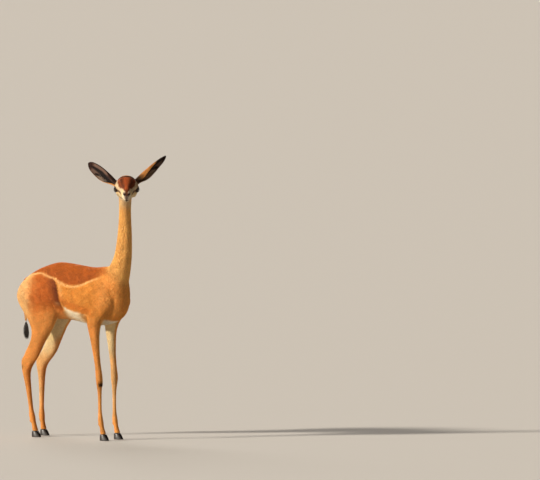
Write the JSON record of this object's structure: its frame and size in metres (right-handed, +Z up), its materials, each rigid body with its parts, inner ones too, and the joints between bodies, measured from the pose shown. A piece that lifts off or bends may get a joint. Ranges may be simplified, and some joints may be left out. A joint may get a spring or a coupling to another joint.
{
  "type": "gerenuk, standing",
  "caption": "Hornless young gerenuk, a slender long-necked antelope, standing on four cloven hooves with its head turned to its right and its large ears spread.",
  "frame": {"origin": "on the ground under the middle of the animal's box", "axes": "+X the way the body faces, +Y the animal's left, +Z up from the ground"},
  "size_m": [0.7682, 0.2672, 1.2236],
  "materials": {
    "coat": "short, flat, glossy hair: rufous saddle, paler flank, white belly and throat",
    "ear": "short hair, buff outside, pale grey with dark streaks inside",
    "tuft_hair": "long coarse black hair",
    "eye": "wet, dark brown",
    "hoof_horn": "dark horn, satin"
  },
  "bodies": {
    "root": {"torso": "coat", "neck": "coat", "head": "coat", "tail": "coat", "foreleg_left": "coat", "foreleg_right": "coat", "hindleg_left": "coat", "hindleg_right": "coat", "ear_left": "ear", "ear_right": "ear", "tail_tuft": "tuft_hair", "eye_left": "eye", "eye_right": "eye", "forehoof_left_outer": "hoof_horn", "forehoof_left_inner": "hoof_horn", "forehoof_right_outer": "hoof_horn", "forehoof_right_inner": "hoof_horn", "hindhoof_left_outer": "hoof_horn", "hindhoof_left_inner": "hoof_horn", "hindhoof_right_outer": "hoof_horn", "hindhoof_right_inner": "hoof_horn"}
  },
  "joints": []
}
